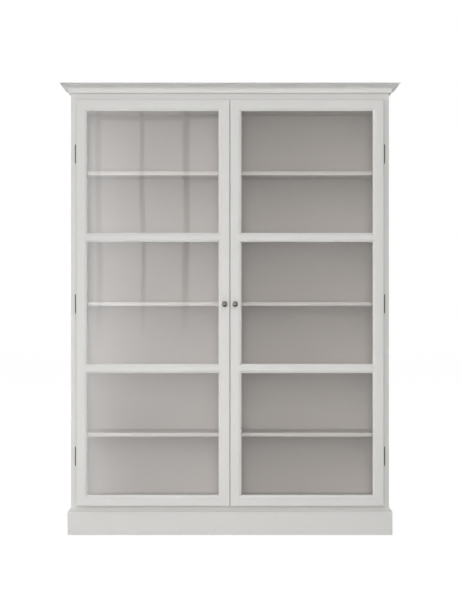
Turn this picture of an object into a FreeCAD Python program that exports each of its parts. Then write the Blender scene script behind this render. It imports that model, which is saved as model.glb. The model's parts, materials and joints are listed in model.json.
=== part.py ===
import FreeCAD, Part
import os
import re
import Sketcher

# A tall painted bookcase with a pair of glazed doors that close over its front, a
# moulded cornice and a plinth.
# Millimetres. The origin is the centre of the footprint on the floor: +X to the
# right, -Y to the front where the doors are, +Z up. The bookcase is the same on
# both sides of the YZ plane, so the right half is built and the left half mirrors it.

SHELVES = 5          # adjustable shelves in each bay
PANES = 3            # panes in each door, one above the other
KNUCKLES = 5         # knuckles on each hinge, shared by its two leaves
SPARE_HOLES = 1      # spare shelf holes above and below each one in use
BACK_SCREW_ROWS = 6  # rows of screws in each back panel

# Driving dimensions, each set here only.
DIMENSIONS = {
    # the whole bookcase
    "overall_width": 1580,
    "overall_depth": 430,
    "overall_height": 2100,
    # the cornice round the front and the two ends
    "cornice_projection": 50,
    "cornice_height": 45,
    "cornice_lip": 2,
    "cornice_step": 12,
    "cornice_fillet": 12,
    "cove_radius": 18,
    "frieze_height": 32,
    # the plinth boards and the rail that shows above them
    "plinth_height": 111,
    "plinth_thickness": 15,
    "plinth_rounding": 5,
    "base_rail_height": 24,
    "floor_clearance": 20,
    # the boards of the case
    "side_thickness": 22,
    "partition_thickness": 22,
    "board_thickness": 22,
    "cover_thickness": 15,
    "cover_recess": 30,
    "top_board_drop": 19,
    "bottom_board_rise": 9,
    "housing_depth": 7,
    "housing_stop": 15,
    "rail_depth": 35,
    "post_width": 28,
    "post_depth": 22,
    "back_thickness": 8,
    "back_rebate": 10,
    "back_rebate_clearance": 0.5,
    "back_bottom": 60,
    # the doors
    "door_thickness": 26,
    "door_gap": 2,
    "door_reveal": 25,
    "stop_gap": 1,
    "door_rounding": 4,
    "frame_flat": 41,
    "mid_rail_flat": 20,
    "sticking_width": 11,
    "sticking_depth": 6,
    "tenon_length": 30,
    "tenon_thickness": 9,
    "tenon_shoulder": 4,
    # the glass and its beads
    "glass_setback": 14,
    "glass_thickness": 4,
    "glass_rebate": 8,
    "glass_clearance": 1,
    # the shelves and the pins that carry them
    "shelf_thickness": 18,
    "shelf_setback": 57,
    "shelf_rounding": 1.5,
    "shelf_back_gap": 6,
    "shelf_end_gap": 1,
    "pin_shank_radius": 2.5,
    "pin_shank_length": 8,
    "pin_peg_radius": 3.5,
    "pin_peg_length": 9,
    "pin_inset": 50,
    "pin_hole_pitch": 32,
    # the hinges
    "hinge_length": 85,
    "knuckle_radius": 3,
    "knuckle_gap": 0.3,
    "hinge_pin_radius": 2,
    "hinge_tip_length": 2.5,
    "barrel_offset": 3.3,
    "barrel_forward": 4.5,
    "leaf_thickness": 1.5,
    "leaf_width": 17.5,
    "leaf_clearance": 4.2,
    "neck_inset": 1,
    "hinge_from_bottom": 231,
    "hinge_middle_height": 1075,
    "hinge_from_top": 251,
    "leaf_screw_pitch": 28,
    # the wood screws
    "screw_head_radius": 3.2,
    "screw_radius": 1.7,
    "screw_length": 16,
    "cross_recess_depth": 0.9,
    "cross_recess_reach": 1.9,
    "cross_recess_width": 0.8,
    "fit_clearance": 0.05,
    # the knobs and their screws
    "knob_height": 1074,
    "knob_inset": 23.5,
    "knob_radius": 13,
    "knob_half_length": 8,
    "knob_neck_length": 5,
    "knob_neck_radius": 4.5,
    "knob_neck_base_radius": 6.3,
    "knob_foot_radius": 9,
    "knob_foot_length": 2,
    "knob_thread_radius": 2,
    "knob_thread_length": 12,
    "knob_screw_head_radius": 4,
    "knob_screw_head_length": 3,
    # the magnetic catches
    "catch_width": 12,
    "catch_length": 30,
    "catch_height": 44,
    "catch_from_end": 150,
    "plate_thickness": 1.2,
    "plate_gap": 0.3,
    # the wall brackets on top of the case
    "bracket_from_centre": 500,
    "bracket_width": 40,
    "bracket_depth": 42,
    "bracket_rise": 28,
    "bracket_thickness": 2.5,
    "bracket_screw_pitch": 20,
    "wall_hole_radius": 3,
    "wall_hole_height": 17,
}

# Places worked out from the driving dimensions, in the order of the case from its
# outside to its inside and from the floor up.
PLACES = {
    "case_half": "overall_width / 2 - cornice_projection",
    "inner_half": "case_half - side_thickness",
    "housed_half": "inner_half + housing_depth",
    "partition_half": "partition_thickness / 2",
    "case_front": "-overall_depth / 2 + cornice_projection",
    "case_back": "overall_depth / 2",
    "door_back": "case_front - stop_gap",
    "door_front": "door_back - door_thickness",
    "housing_front": "case_front + housing_stop",
    "rails_back": "case_front + rail_depth",
    "boards_back": "case_back - back_thickness",
    "door_low": "plinth_height + base_rail_height",
    "bottom_board_low": "door_low + bottom_board_rise",
    "floor_level": "bottom_board_low + board_thickness",
    "cornice_low": "overall_height - cornice_height",
    "door_high": "cornice_low - frieze_height",
    "top_board_high": "door_high - top_board_drop",
    "ceiling_level": "top_board_high - board_thickness",
    "cover_high": "overall_height - cover_recess",
    "cover_low": "cover_high - cover_thickness",
    "shelf_pitch": f"(ceiling_level - floor_level + shelf_thickness) / {SHELVES + 1}",
    "shelf_front": "case_front + shelf_setback",
    "shelf_back": "boards_back - shelf_back_gap",
    "door_meeting": "door_gap / 2",
    "door_edge": "case_half - door_reveal",
    "frame_width": "frame_flat + sticking_width",
    "mid_rail_width": "mid_rail_flat + 2 * sticking_width",
    "sight_low": "door_low + frame_width",
    "sight_high": "door_high - frame_width",
    "sight_left": "door_meeting + frame_width",
    "sight_right": "door_edge - frame_width",
    "pane_height": f"(sight_high - sight_low - {PANES - 1} * mid_rail_width) / {PANES}",
    "glass_front": "door_front + glass_setback",
    "glass_back": "glass_front + glass_thickness",
    "barrel_x": "door_edge + barrel_offset",
    "barrel_y": "case_front - barrel_forward",
    "leaf_screw_in": "(leaf_clearance + leaf_width) / 2",
    "knuckle_pitch": f"hinge_length / {KNUCKLES}",
    "knob_x": "door_meeting + knob_inset",
    "strike_x": "partition_half + stop_gap",
    "strike_back": "door_back + plate_thickness",
}

# How far a cutting shape runs past the piece that it cuts.
PAST = 5

doc = FreeCAD.newDocument("Bookcase")
nodes = {}
cells = {}


def fill_sheet(name, rows):
    """Make a sheet with one named cell for each row."""
    sheet = doc.addObject("Spreadsheet::Sheet", name)
    for row, (alias, text) in enumerate(rows.items(), start=1):
        sheet.set(f"A{row}", alias)
        sheet.set(f"B{row}", text)
        sheet.setAlias(f"B{row}", alias)
        cells[alias] = f"{name}.{alias}"
    return sheet


def formula(text):
    """Write each name in a formula as the cell that holds it."""
    return re.sub(r"[a-z][a-z_]+", lambda word: cells.get(word.group(), word.group()), str(text))


def bind(thing, **formulas):
    """Bind properties to formulas. A double underscore stands for a dot."""
    for path, text in formulas.items():
        thing.setExpression(path.replace("__", "."), formula(text))


def bind_base(thing, base):
    """Bind a thing's place to three formulas."""
    bind(thing, Placement__Base__x=base[0], Placement__Base__y=base[1], Placement__Base__z=base[2])


def node(name, thing):
    """Give a finished sub-part its label and keep it for export."""
    thing.Label = name
    nodes[name] = thing
    return thing


# ---------------------------------------------------------------- general shapes

def box(name, low, high):
    """A block between two corners."""
    block = doc.addObject("Part::Box", name)
    sizes = [f"({top}) - ({bottom})" for bottom, top in zip(low, high)]
    bind(block, Length=sizes[0], Width=sizes[1], Height=sizes[2])
    bind_base(block, low)
    return block


X_AXIS = FreeCAD.Vector(1, 0, 0)
Y_AXIS = FreeCAD.Vector(0, 1, 0)
Z_AXIS = FreeCAD.Vector(0, 0, 1)

# How a shape that stands along Z is turned to run along each axis.
TURNS = {
    "x": FreeCAD.Rotation(Y_AXIS, 90),
    "-x": FreeCAD.Rotation(Y_AXIS, -90),
    "y": FreeCAD.Rotation(X_AXIS, -90),
    "-y": FreeCAD.Rotation(X_AXIS, 90),
    "z": FreeCAD.Rotation(),
    "-z": FreeCAD.Rotation(X_AXIS, 180),
}


def rod(name, axis, base, radius, length):
    """A cylinder that starts at a point and runs along an axis."""
    cylinder = doc.addObject("Part::Cylinder", name)
    cylinder.Placement.Rotation = TURNS[axis]
    bind(cylinder, Radius=radius, Height=length)
    bind_base(cylinder, base)
    return cylinder


def taper(name, axis, base, radius, end_radius, length):
    """A cone that starts at a point and runs along an axis."""
    cone = doc.addObject("Part::Cone", name)
    cone.Placement.Rotation = TURNS[axis]
    bind(cone, Radius1=radius, Radius2=end_radius, Height=length)
    bind_base(cone, base)
    return cone


def group(name, things):
    """Several separate shapes as one object."""
    compound = doc.addObject("Part::Compound", name)
    compound.Links = things
    return compound


def copies(name, thing, bases, axis="z"):
    """Copies of one piece, each at its own place and all turned the same way."""
    links = []
    for number, base in enumerate(bases, start=1):
        link = doc.addObject("App::Link", f"{name}{number}")
        link.LinkedObject = thing
        link.Placement.Rotation = TURNS[axis]
        bind_base(link, base)
        links.append(link)
    return group(name, links)


def cut(name, thing, tools):
    """A shape less some others."""
    result = doc.addObject("Part::Cut", name)
    result.Base = thing
    result.Tool = tools[0] if len(tools) == 1 else group(f"{name}Tools", tools)
    return result


def fuse(name, things):
    """Several shapes joined in one solid."""
    result = doc.addObject("Part::MultiFuse", name)
    result.Shapes = things
    result.Refine = True
    return result


def mirror(name, thing):
    """The same shape on the other side of the YZ plane."""
    result = doc.addObject("Part::Mirroring", name)
    result.Source = thing
    result.Normal = X_AXIS
    return result


def outline(body, name, plane, points):
    """A closed sketch of straight lines, each corner bound to two formulas."""
    sketch = body.newObject("Sketcher::SketchObject", name)
    origin_plane = next(part for part in body.Origin.OriginFeatures if part.Role == plane)
    sketch.AttachmentSupport = [(origin_plane, "")]
    sketch.MapMode = "FlatFace"
    for index in range(len(points)):
        start = FreeCAD.Vector(index, index * index, 0)
        end = FreeCAD.Vector(index + 1, (index + 1) ** 2, 0)
        sketch.addGeometry(Part.LineSegment(start, end))
    for index in range(len(points)):
        following = (index + 1) % len(points)
        sketch.addConstraint(Sketcher.Constraint("Coincident", index, 2, following, 1))
    for index, corner in enumerate(points):
        for kind, place in zip(("DistanceX", "DistanceY"), corner):
            constraint = sketch.addConstraint(Sketcher.Constraint(kind, -1, 1, index, 1, 1.0))
            label = f"{kind}{index}"
            sketch.renameConstraint(constraint, label)
            sketch.setExpression(f"Constraints.{label}", formula(place))
    return sketch


# A pad on each origin plane starts at the first formula of its span along the
# plane's normal. The normal of the XZ plane is -Y, so there the span is turned.
def prism(name, plane, points, span):
    """A PartDesign body: an outline padded over a span along its plane's normal."""
    body = doc.addObject("PartDesign::Body", name)
    sketch = outline(body, f"{name}Outline", plane, points)
    start, end = span
    offset = f"-({end})" if plane == "XZ_Plane" else start
    bind(sketch, AttachmentOffset__Base__z=offset)
    pad = body.newObject("PartDesign::Pad", f"{name}Pad")
    pad.Profile = sketch
    bind(pad, Length=f"({end}) - ({start})")
    return body


def turned(name, profile):
    """A PartDesign body: a half section in the XZ plane turned about the Z axis."""
    body = doc.addObject("PartDesign::Body", name)
    sketch = outline(body, f"{name}Profile", "XZ_Plane", profile)
    turn = body.newObject("PartDesign::Revolution", f"{name}Turn")
    turn.Profile = sketch
    turn.ReferenceAxis = (sketch, ["V_Axis"])
    turn.Angle = 360
    return body


def round_edges(body, name, radius, chosen):
    """Round the edges of a body's last feature that a test picks out."""
    doc.recompute()
    base = body.Tip
    picked = []
    for index, edge in enumerate(base.Shape.Edges, start=1):
        if chosen(edge):
            picked.append(f"Edge{index}")
    fillet = body.newObject("PartDesign::Fillet", name)
    fillet.Base = (base, picked)
    bind(fillet, Radius=radius)
    return body


def runs_along(edge, axis):
    """Whether a straight edge is parallel to an axis."""
    direction = edge.Vertexes[-1].Point - edge.Vertexes[0].Point
    direction.normalize()
    return abs(direction.dot(axis)) > 0.999


sheet = fill_sheet("Dims", {alias: str(size) for alias, size in DIMENSIONS.items()})
places = fill_sheet("Places", {alias: alias for alias in PLACES})
for row, text in enumerate(PLACES.values(), start=1):
    places.set(f"B{row}", "=" + formula(text))
doc.recompute()

# ------------------------------------------------------------------------ screws

# A countersunk wood screw, its head's flat top at the origin and its point below.
POINT_LENGTH = 4  # the tapered point, from the end of the even shank
wood_screw_blank = turned("WoodScrewBlank", [
    ("0", "0"),
    ("screw_head_radius", "0"),
    ("screw_radius", "screw_radius - screw_head_radius"),
    ("screw_radius", f"{POINT_LENGTH} - screw_length"),
    ("0", "-screw_length"),
])
recess_arms = [
    box("RecessArmX", ("-cross_recess_reach", "-cross_recess_width / 2", "-cross_recess_depth"),
        ("cross_recess_reach", "cross_recess_width / 2", PAST)),
    box("RecessArmY", ("-cross_recess_width / 2", "-cross_recess_reach", "-cross_recess_depth"),
        ("cross_recess_width / 2", "cross_recess_reach", PAST)),
]
wood_screw = cut("WoodScrew", wood_screw_blank, [fuse("CrossRecess", recess_arms)])

# The hole that it needs: a countersink in the plate or board under its head and a
# pilot hole as long as the screw.
hole_radius = "screw_radius + fit_clearance"
sink_radius = "screw_head_radius + fit_clearance"
screw_hole = turned("ScrewHole", [
    ("0", str(PAST)),
    (sink_radius, str(PAST)),
    (sink_radius, "0"),
    (hole_radius, "screw_radius - screw_head_radius"),
    (hole_radius, "-screw_length - fit_clearance"),
    ("0", "-screw_length - fit_clearance"),
])

# ------------------------------------------------------------------------ hinges

# A butt hinge about its own pin. It closes flat between the back of the door and the
# front of the case, with its barrel outside the door's edge. Its shapes are measured
# from the pin's axis, with the leaves towards -X and the case towards +Y.
CASE_KNUCKLES = range(0, KNUCKLES, 2)
DOOR_KNUCKLES = range(1, KNUCKLES, 2)
door_leaf_back = "(barrel_forward - stop_gap)"
case_leaf_front = "barrel_forward"


def hinge_leaf(name, plate_front, knuckles, screw_face, screw_axis):
    """One leaf: a drilled plate with the knuckles that belong to it."""
    plate_back = f"{plate_front} + leaf_thickness"
    pieces = [
        box(f"{name}Plate", ("-leaf_width", plate_front, "-hinge_length / 2"),
            ("-leaf_clearance", plate_back, "hinge_length / 2")),
    ]
    for index in knuckles:
        low = f"{index} * knuckle_pitch - hinge_length / 2 + knuckle_gap / 2"
        high = f"{index + 1} * knuckle_pitch - hinge_length / 2 - knuckle_gap / 2"
        pieces.append(rod(f"{name}Knuckle{index}", "z", ("0", "0", low),
                          "knuckle_radius", f"({high}) - ({low})"))
        pieces.append(box(f"{name}Tongue{index}", (f"-leaf_clearance - {PAST / 2}", plate_front, low),
                          ("-neck_inset", plate_back, high)))
        pieces.append(box(f"{name}Neck{index}", ("-neck_inset - leaf_thickness", "0", low),
                          ("-neck_inset", plate_back, high)))
    bore = rod(f"{name}Bore", "z", ("0", "0", f"-hinge_length / 2 - {PAST}"),
               "hinge_pin_radius + fit_clearance", f"hinge_length + {2 * PAST}")
    holes = copies(f"{name}Holes", screw_hole, leaf_screw_places(screw_face), screw_axis)
    return cut(name, fuse(f"{name}Blank", pieces), [bore, holes])


def leaf_screw_places(face, barrel=("0", "0", "0")):
    """Where the three screws of a leaf start, on its face."""
    return [
        (f"{barrel[0]} - leaf_screw_in", f"{barrel[1]} + {face}", f"{barrel[2]} + {step} * leaf_screw_pitch")
        for step in (-1, 0, 1)
    ]


def leaf_recess(name, barrel, end, front, back):
    """The shallow cut in wood that takes a leaf's plate, open at its barrel side."""
    return box(name, (f"{barrel[0]} - leaf_width", front, f"{barrel[2]} - hinge_length / 2"),
               (end, back, f"{barrel[2]} + hinge_length / 2"))


door_leaf = hinge_leaf("DoorLeaf", f"{door_leaf_back} - leaf_thickness", DOOR_KNUCKLES,
                       door_leaf_back, "y")
case_leaf = hinge_leaf("CaseLeaf", case_leaf_front, CASE_KNUCKLES, case_leaf_front, "-y")

# The loose pin through the knuckles, with a tapered tip on each end.
pin_end = "(hinge_length - knuckle_gap) / 2"
hinge_pin = turned("HingePin", [
    ("0", f"-({pin_end}) - hinge_tip_length"),
    ("hinge_pin_radius", f"-({pin_end}) - hinge_tip_length"),
    ("knuckle_radius - knuckle_gap", f"-({pin_end}) - hinge_tip_length / 2"),
    ("knuckle_radius - knuckle_gap", f"-({pin_end})"),
    ("hinge_pin_radius", f"-({pin_end})"),
    ("hinge_pin_radius", pin_end),
    ("knuckle_radius - knuckle_gap", pin_end),
    ("knuckle_radius - knuckle_gap", f"{pin_end} + hinge_tip_length / 2"),
    ("hinge_pin_radius", f"{pin_end} + hinge_tip_length"),
    ("0", f"{pin_end} + hinge_tip_length"),
])

barrels = [
    ("barrel_x", "barrel_y", "door_low + hinge_from_bottom"),
    ("barrel_x", "barrel_y", "hinge_middle_height"),
    ("barrel_x", "barrel_y", "door_high - hinge_from_top"),
]
case_screw_places = []
door_screw_places = []
for barrel in barrels:
    case_screw_places += leaf_screw_places(case_leaf_front, barrel)
    door_screw_places += leaf_screw_places(door_leaf_back, barrel)

# ---------------------------------------------------------------- shelf supports

# A shelf pin, its shoulder at the origin, its shank below and its peg above.
shelf_pin = turned("ShelfPin", [
    ("0", "-pin_shank_length"),
    ("pin_shank_radius", "-pin_shank_length"),
    ("pin_shank_radius", "0"),
    ("pin_peg_radius", "0"),
    ("pin_peg_radius", "pin_peg_length"),
    ("0", "pin_peg_length"),
])
pin_hole = turned("PinHole", [
    ("0", str(PAST)),
    ("pin_shank_radius + fit_clearance", str(PAST)),
    ("pin_shank_radius + fit_clearance", "-pin_shank_length - fit_clearance"),
    ("0", "-pin_shank_length - fit_clearance"),
])

pin_rows = ["shelf_front + pin_inset", "shelf_back - pin_inset"]


def shelf_low(number):
    """The height of the underside of a shelf, counted from 1 at the bottom."""
    return f"(floor_level + {number} * shelf_pitch - shelf_thickness)"


def pin_places(face, steps):
    """Where pins or their holes start on an upright's face."""
    return [
        (face, across, f"{shelf_low(number)} - pin_peg_radius + {step} * pin_hole_pitch")
        for number in range(1, SHELVES + 1)
        for across in pin_rows
        for step in steps
    ]


hole_steps = range(-SPARE_HOLES, SPARE_HOLES + 1)

# ------------------------------------------------------------- screws in the back

back_screw_columns = ["inner_half + back_rebate / 2", "partition_half / 2"]
back_screw_margin = "2 * board_thickness"


def back_screw_places(column):
    """Evenly spaced screws up one edge of a back panel."""
    span = f"(top_board_high - back_bottom - 2 * {back_screw_margin})"
    return [
        (column, "case_back", f"back_bottom + {back_screw_margin} + {row} * {span} / {BACK_SCREW_ROWS - 1}")
        for row in range(BACK_SCREW_ROWS)
    ]


side_column, centre_column = [back_screw_places(column) for column in back_screw_columns]
bracket_screw_places = [
    (f"bracket_from_centre + {step} * bracket_screw_pitch",
     "boards_back - bracket_depth / 2", "cover_high + bracket_thickness")
    for step in (-0.5, 0.5)
]

# -------------------------------------------------------------------- side panels

side_blank = box("SideBlank", ("inner_half", "case_front", "0"), ("case_half", "case_back", "overall_height"))


def housing(name, front, low, high):
    """A groove across a side panel that takes the end of a board."""
    return box(name, (f"inner_half - {PAST}", front, low), ("housed_half", "boards_back", high))


side_cuts = [
    housing("BottomHousing", "housing_front", "bottom_board_low", "floor_level"),
    housing("TopHousing", "housing_front", "ceiling_level", "top_board_high"),
    housing("CoverHousing", "rails_back", "cover_low", "cover_high"),
    box("BackRebate", (f"inner_half - {PAST}", "boards_back", "back_bottom"),
        ("inner_half + back_rebate", f"case_back + {PAST}", "cover_high")),
    copies("SidePinHoles", pin_hole, pin_places("inner_half", hole_steps), "-x"),
    copies("SideBackHoles", screw_hole, side_column, "y"),
]
side_panel = node("side_panel_right", cut("SidePanel", side_blank, side_cuts))
node("side_panel_left", mirror("SidePanelLeft", side_panel))

# A post inside each side panel widens its front edge, and the hinges are let into it.
post_blank = box("PostBlank", ("inner_half - post_width", "case_front", "floor_level"),
                 ("inner_half", "case_front + post_depth", "ceiling_level"))
post_cuts = [copies("PostHingeHoles", screw_hole, case_screw_places, "-y")]
for index, barrel in enumerate(barrels, start=1):
    post_cuts.append(leaf_recess(f"PostRecess{index}", barrel, f"inner_half + {PAST}",
                                 f"case_front - {PAST}", "case_front + leaf_thickness"))
hinge_post = cut("HingePost", post_blank, post_cuts)
node("hinge_posts", group("HingePosts", [hinge_post, mirror("HingePostLeft", hinge_post)]))

# ---------------------------------------------------------- partition and boards

partition_blank = box(
    "PartitionBlank",
    ("-partition_half", "case_front", "floor_level - housing_depth"),
    ("partition_half", "boards_back", "ceiling_level + housing_depth"))
centre_holes = copies("CentreHoles", screw_hole, centre_column, "y")
centre_holes = group("AllCentreHoles", [centre_holes, mirror("CentreHolesLeft", centre_holes)])
node("centre_partition", cut("Partition", partition_blank, [
    copies("PartitionPinHolesRight", pin_hole, pin_places("partition_half", hole_steps), "x"),
    copies("PartitionPinHolesLeft", pin_hole, pin_places("-partition_half", hole_steps), "-x"),
    centre_holes,
]))

# The top and bottom boards are grooved for the partition's ends, and the front of
# each end is notched, so that its housing doesn't show beside the doors.
for name, low, high, groove_low, groove_high in (
        ("bottom_board", "bottom_board_low", "floor_level", "floor_level - housing_depth",
         f"floor_level + {PAST}"),
        ("top_board", "ceiling_level", "top_board_high", f"ceiling_level - {PAST}",
         "ceiling_level + housing_depth")):
    board = box(f"{name}_blank", ("-housed_half", "case_front", low), ("housed_half", "boards_back", high))
    groove = box(f"{name}_groove", ("-partition_half", f"case_front - {PAST}", groove_low),
                 ("partition_half", f"boards_back + {PAST}", groove_high))
    notch = box(f"{name}_notch", ("inner_half", f"case_front - {PAST}", f"{low} - {PAST}"),
                (f"housed_half + {PAST}", "housing_front", f"{high} + {PAST}"))
    node(name, cut(f"{name}_cut", board, [groove, notch, mirror(f"{name}_notch_left", notch)]))

cover_blank = box("CoverBlank", ("-housed_half", "rails_back", "cover_low"),
                  ("housed_half", "boards_back", "cover_high"))
cover_holes = copies("CoverHoles", screw_hole, bracket_screw_places, "z")
node("cover_board", cut("Cover", cover_blank, [cover_holes, mirror("CoverHolesLeft", cover_holes)]))

# The rails lie flush with the side panels' front edges and show below and above the
# doors, which close over them. They carry the front edges of the boards.
node("base_rail", box("BaseRail", ("-inner_half", "case_front", "floor_clearance"),
                      ("inner_half", "rails_back", "bottom_board_low")))
node("frieze_rail", box("FriezeRail", ("-inner_half", "case_front", "top_board_high"),
                        ("inner_half", "rails_back", "overall_height")))
stretcher_blank = box("StretcherBlank", ("-inner_half", "boards_back - board_thickness", "floor_clearance"),
                      ("inner_half", "boards_back", "bottom_board_low"))
node("rear_stretcher", cut("Stretcher", stretcher_blank, [centre_holes]))

# -------------------------------------------------------------------- back panels

back_blank = box("BackBlank", ("back_rebate_clearance", "boards_back", "back_bottom"),
                 ("inner_half + back_rebate - back_rebate_clearance", "case_back", "cover_high"))
back_panel = cut("BackPanel", back_blank, [
    copies("BackHoles", screw_hole, side_column + centre_column, "y"),
])
node("back_panels", group("BackPanels", [back_panel, mirror("BackPanelLeft", back_panel)]))

# ------------------------------------------------------------ cornice and plinth

# Three mitred lengths of moulding. From a thin lip at the top, a flat slope runs down
# and inwards into a small cove, and below that a narrow fillet stands proud of the
# frieze. The slope meets the cove at this place, in radii in and up from its axis.
COVE_MEETS = (0.47, 0.88)
cornice_front_y = "case_front - cornice_projection"
cornice_end_x = "case_half + cornice_projection"
cove_out = "(cornice_step + cove_radius)"
cove_up = "(cornice_low + cornice_fillet)"


def cornice_waste(name, plane, place, axis, span):
    """What is cut away below a cornice's slope. The place turns a projection into a formula."""
    waste = prism(f"{name}Slope", plane, [
        (place("cornice_projection"), "overall_height - cornice_lip"),
        (place(f"{cove_out} - {COVE_MEETS[0]} * cove_radius"), f"{cove_up} + {COVE_MEETS[1]} * cove_radius"),
        (place(cove_out), cove_up),
        (place("cornice_step"), cove_up),
        (place("cornice_step"), f"cornice_low - {PAST}"),
        (place(f"cornice_projection + {PAST}"), f"cornice_low - {PAST}"),
        (place(f"cornice_projection + {PAST}"), "overall_height - cornice_lip"),
    ], span)
    start = span[0]
    base = (start, place(cove_out), cove_up) if axis == "x" else (place(cove_out), start, cove_up)
    cove = rod(f"{name}Cove", axis, base, "cove_radius", f"({span[1]}) - ({start})")
    return fuse(name, [waste, cove])


front_blank = prism("CorniceFrontBlank", "XY_Plane", [
    ("-case_half", "case_front"),
    (f"-({cornice_end_x})", cornice_front_y),
    (cornice_end_x, cornice_front_y),
    ("case_half", "case_front"),
], ("cornice_low", "overall_height"))
front_waste = cornice_waste("FrontWaste", "YZ_Plane", lambda out: f"case_front - ({out})", "x",
                            (f"-overall_width / 2 - {PAST}", f"overall_width / 2 + {PAST}"))
node("cornice_front", cut("CorniceFront", front_blank, [front_waste]))

end_blank = prism("CorniceEndBlank", "XY_Plane", [
    ("case_half", "case_front"),
    (cornice_end_x, cornice_front_y),
    (cornice_end_x, "case_back"),
    ("case_half", "case_back"),
], ("cornice_low", "overall_height"))
end_waste = cornice_waste("EndWaste", "XZ_Plane", lambda out: f"case_half + ({out})", "y",
                          (f"-overall_depth / 2 - {PAST}", f"overall_depth / 2 + {PAST}"))
cornice_end = node("cornice_right", cut("CorniceEnd", end_blank, [end_waste]))
node("cornice_left", mirror("CorniceLeft", cornice_end))

# Mitred boards round the foot, with a rounded upper edge.
plinth_front_y = "case_front - plinth_thickness"
plinth_end_x = "case_half + plinth_thickness"


def on_plinth_top(edge, place, axis):
    """Whether an edge is the upper outer one of a plinth board."""
    high = edge.CenterOfMass.z > sheet.get("plinth_height") - 1
    return high and abs(edge.CenterOfMass.dot(place[1]) - place[0]) < 1 and runs_along(edge, axis)


plinth_front_level = places.get("case_front") - sheet.get("plinth_thickness")
plinth_end_level = places.get("case_half") + sheet.get("plinth_thickness")
plinth_front = prism("PlinthFront", "XY_Plane", [
    ("-case_half", "case_front"),
    (f"-({plinth_end_x})", plinth_front_y),
    (plinth_end_x, plinth_front_y),
    ("case_half", "case_front"),
], ("0", "plinth_height"))
node("plinth_front", round_edges(
    plinth_front, "PlinthFrontRounding", "plinth_rounding",
    lambda edge: on_plinth_top(edge, (plinth_front_level, Y_AXIS), X_AXIS)))
plinth_end = prism("PlinthEnd", "XY_Plane", [
    ("case_half", "case_front"),
    (plinth_end_x, plinth_front_y),
    (plinth_end_x, "case_back"),
    ("case_half", "case_back"),
], ("0", "plinth_height"))
node("plinth_right", round_edges(
    plinth_end, "PlinthEndRounding", "plinth_rounding",
    lambda edge: on_plinth_top(edge, (plinth_end_level, X_AXIS), Y_AXIS)))
node("plinth_left", mirror("PlinthLeft", plinth_end))

# ------------------------------------------------------------------------ shelves

for number in range(1, SHELVES + 1):
    low = shelf_low(number)
    high = f"({low} + shelf_thickness)"
    shelf = prism(f"Shelf{number}", "YZ_Plane", [
        ("shelf_front", low),
        ("shelf_front", high),
        ("shelf_back", high),
        ("shelf_back", low),
    ], ("partition_half + shelf_end_gap", "inner_half - shelf_end_gap"))
    front = places.get("shelf_front")
    round_edges(shelf, f"Shelf{number}Rounding", "shelf_rounding",
                lambda edge: abs(edge.CenterOfMass.y - front) < 1 and runs_along(edge, X_AXIS))
    node(f"shelf_right_{number}", shelf)
    node(f"shelf_left_{number}", mirror(f"ShelfLeft{number}", shelf))

right_pins = group("RightPins", [
    copies("SidePins", shelf_pin, pin_places("inner_half", [0]), "-x"),
    copies("PartitionPins", shelf_pin, pin_places("partition_half", [0]), "x"),
])
node("shelf_pins", group("ShelfPins", [right_pins, mirror("LeftPins", right_pins)]))

# ------------------------------------------------------- the case's half of hinges

for name, right_half in (
        ("hinge_leaves_case", copies("CaseLeaves", case_leaf, barrels)),
        ("hinge_pins", copies("HingePins", hinge_pin, barrels)),
        ("hinge_screws_case", copies("CaseLeafScrews", wood_screw, case_screw_places, "-y"))):
    node(name, group(f"{name}_all", [right_half, mirror(f"{name}_left", right_half)]))

# -------------------------------------------------------- catches, brackets, screws

catch_levels = ["door_low + catch_from_end", "door_high - catch_from_end"]
right_catches = group("RightCatches", [
    box(f"Catch{index}",
        ("partition_half", "strike_back + plate_gap", f"{level} - catch_height / 2"),
        ("partition_half + catch_width", "strike_back + plate_gap + catch_length",
         f"{level} + catch_height / 2"))
    for index, level in enumerate(catch_levels, start=1)
])
node("catch_magnets", group("CatchMagnets", [right_catches, mirror("LeftCatches", right_catches)]))

bracket_low_x = "bracket_from_centre - bracket_width / 2"
bracket_blank = prism("BracketBlank", "YZ_Plane", [
    ("boards_back - bracket_depth", "cover_high"),
    ("case_back", "cover_high"),
    ("case_back", "cover_high + bracket_rise"),
    ("case_back - bracket_thickness", "cover_high + bracket_rise"),
    ("case_back - bracket_thickness", "cover_high + bracket_thickness"),
    ("boards_back - bracket_depth", "cover_high + bracket_thickness"),
], (bracket_low_x, f"{bracket_low_x} + bracket_width"))
bracket = cut("Bracket", bracket_blank, [
    rod("WallHole", "y", ("bracket_from_centre", f"case_back - {PAST}", "cover_high + wall_hole_height"),
        "wall_hole_radius", 2 * PAST),
    copies("BracketHoles", screw_hole, bracket_screw_places, "z"),
])
node("wall_brackets", group("WallBrackets", [bracket, mirror("LeftBracket", bracket)]))

right_case_screws = group("RightCaseScrews", [
    copies("BackScrews", wood_screw, side_column + centre_column, "y"),
    copies("BracketScrews", wood_screw, bracket_screw_places, "z"),
])
node("case_screws", group("CaseScrews", [right_case_screws, mirror("LeftCaseScrews", right_case_screws)]))

# -------------------------------------------------------------------------- doors


def pane_low(index):
    """The lower sight line of a pane, counted from 0 at the bottom."""
    return f"(sight_low + {index} * (pane_height + mid_rail_width))"


def pane_high(index):
    """The upper sight line of a pane."""
    return f"({pane_low(index)} + pane_height)"


def at_door_rim(edge):
    """Whether an edge is a front edge of the blank door or stands at its meeting side."""
    low, high = places.get("door_low"), places.get("door_high")
    at_front = abs(edge.CenterOfMass.y - places.get("door_front")) < 1
    level = edge.CenterOfMass.z
    return at_front and (runs_along(edge, Z_AXIS) or abs(level - low) < 1 or abs(level - high) < 1)


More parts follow.
